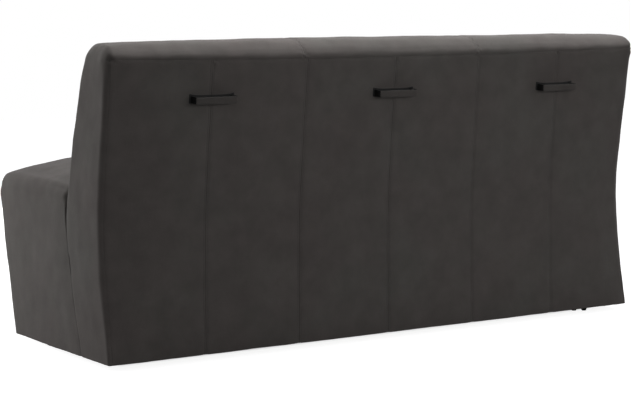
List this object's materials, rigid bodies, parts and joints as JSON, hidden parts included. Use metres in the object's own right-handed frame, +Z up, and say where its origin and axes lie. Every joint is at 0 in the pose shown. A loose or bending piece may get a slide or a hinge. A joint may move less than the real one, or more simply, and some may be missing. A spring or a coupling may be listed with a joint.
{
  "type": "dining sofa",
  "caption": "Upholstered bench sofa for a dining table, with a bent back, a crowned seat, pull handles on the back and hidden swivel castors.",
  "frame": {"origin": "on the floor under the middle of the sofa's box", "axes": "+X along the width (right as seen from the front), +Y towards the back, +Z up"},
  "size_m": [1.9, 0.7391, 0.9077],
  "materials": {
    "brushed_cloth": "matt brushed microfibre",
    "seat_foam": "open-cell foam",
    "plywood": "sanded",
    "elastic_webbing": "woven",
    "dust_lining": "non-woven",
    "spring_steel": "drawn wire",
    "zinc_plate": "zinc plated",
    "black_metal": "matt black powder coat",
    "black_nylon": "moulded"
  },
  "bodies": {
    "sofa": {"back_hood": "brushed_cloth", "back_panel": "brushed_cloth", "seat_cushion": "brushed_cloth", "seat_front_pad": "brushed_cloth", "seat_end_pad_left": "brushed_cloth", "seat_end_pad_right": "brushed_cloth", "handle_1_grip": "brushed_cloth", "handle_2_grip": "brushed_cloth", "handle_3_grip": "brushed_cloth", "back_end_frame_left": "plywood", "back_end_frame_right": "plywood", "back_rib_left": "plywood", "back_rib_right": "plywood", "back_top_rail": "plywood", "back_handle_rail": "plywood", "back_joining_rail": "plywood", "seat_front_board": "plywood", "seat_rear_board": "plywood", "seat_end_board_left": "plywood", "seat_end_board_right": "plywood", "seat_rib_left": "plywood", "seat_rib_right": "plywood", "front_foot_board": "plywood", "rear_foot_board": "plywood", "seat_spring_1": "spring_steel", "seat_spring_2": "spring_steel", "seat_spring_3": "spring_steel", "seat_spring_4": "spring_steel", "seat_spring_5": "spring_steel", "seat_spring_6": "spring_steel", "seat_spring_7": "spring_steel", "seat_spring_8": "spring_steel", "seat_spring_9": "spring_steel", "back_webbing_1": "elastic_webbing", "back_webbing_2": "elastic_webbing", "back_webbing_3": "elastic_webbing", "joining_bolt_1": "zinc_plate", "joining_bolt_2": "zinc_plate", "joining_bolt_3": "zinc_plate", "joining_bolt_4": "zinc_plate", "handle_1_bracket": "black_metal", "handle_2_bracket": "black_metal", "handle_3_bracket": "black_metal", "back_foam": "seat_foam", "dust_cover": "dust_lining"},
    "front_castor_left": {"front_castor_left_housing": "black_nylon"},
    "front_castor_left_wheel_a": {"front_castor_left_wheel_a": "black_nylon"},
    "front_castor_left_wheel_b": {"front_castor_left_wheel_b": "black_nylon"},
    "front_castor_right": {"front_castor_right_housing": "black_nylon"},
    "front_castor_right_wheel_a": {"front_castor_right_wheel_a": "black_nylon"},
    "front_castor_right_wheel_b": {"front_castor_right_wheel_b": "black_nylon"},
    "rear_castor_left": {"rear_castor_left_housing": "black_nylon"},
    "rear_castor_left_wheel_a": {"rear_castor_left_wheel_a": "black_nylon"},
    "rear_castor_left_wheel_b": {"rear_castor_left_wheel_b": "black_nylon"},
    "rear_castor_right": {"rear_castor_right_housing": "black_nylon"},
    "rear_castor_right_wheel_a": {"rear_castor_right_wheel_a": "black_nylon"},
    "rear_castor_right_wheel_b": {"rear_castor_right_wheel_b": "black_nylon"}
  },
  "joints": [
    {"name": "front_castor_left_swivel", "type": "hinge", "parent": "sofa", "child": "front_castor_left", "pos_m": [-0.8225, -0.18892, 0], "axis": [0, 0, 1], "continuous": true},
    {"name": "front_castor_left_wheel_a_roll", "type": "hinge", "parent": "front_castor_left", "child": "front_castor_left_wheel_a", "pos_m": [-0.84416, -0.20019, 0.01735], "axis": [0.9397, -0.342, 0], "continuous": true},
    {"name": "front_castor_left_wheel_b_roll", "type": "hinge", "parent": "front_castor_left", "child": "front_castor_left_wheel_b", "pos_m": [-0.81315, -0.21148, 0.01735], "axis": [0.9397, -0.342, 0], "continuous": true},
    {"name": "front_castor_right_swivel", "type": "hinge", "parent": "sofa", "child": "front_castor_right", "pos_m": [0.8225, -0.18892, 0], "axis": [0, 0, 1], "continuous": true},
    {"name": "front_castor_right_wheel_a_roll", "type": "hinge", "parent": "front_castor_right", "child": "front_castor_right_wheel_a", "pos_m": [0.81122, -0.21058, 0.01735], "axis": [0.9659, 0.2588, 0], "continuous": true},
    {"name": "front_castor_right_wheel_b_roll", "type": "hinge", "parent": "front_castor_right", "child": "front_castor_right_wheel_b", "pos_m": [0.8431, -0.20203, 0.01735], "axis": [0.9659, 0.2588, 0], "continuous": true},
    {"name": "rear_castor_left_swivel", "type": "hinge", "parent": "sofa", "child": "rear_castor_left", "pos_m": [-0.8225, 0.24408, 0], "axis": [0, 0, 1], "continuous": true},
    {"name": "rear_castor_left_wheel_a_roll", "type": "hinge", "parent": "rear_castor_left", "child": "rear_castor_left_wheel_a", "pos_m": [-0.79921, 0.25142, 0.01735], "axis": [-0.866, 0.5, 0], "continuous": true},
    {"name": "rear_castor_left_wheel_b_roll", "type": "hinge", "parent": "rear_castor_left", "child": "rear_castor_left_wheel_b", "pos_m": [-0.82779, 0.26792, 0.01735], "axis": [-0.866, 0.5, 0], "continuous": true},
    {"name": "rear_castor_right_swivel", "type": "hinge", "parent": "sofa", "child": "rear_castor_right", "pos_m": [0.8225, 0.24408, 0], "axis": [0, 0, 1], "continuous": true},
    {"name": "rear_castor_right_wheel_a_roll", "type": "hinge", "parent": "rear_castor_right", "child": "rear_castor_right_wheel_a", "pos_m": [0.806, 0.22608, 0.01735], "axis": [1, 0, 0], "continuous": true},
    {"name": "rear_castor_right_wheel_b_roll", "type": "hinge", "parent": "rear_castor_right", "child": "rear_castor_right_wheel_b", "pos_m": [0.839, 0.22608, 0.01735], "axis": [1, 0, 0], "continuous": true}
  ]
}
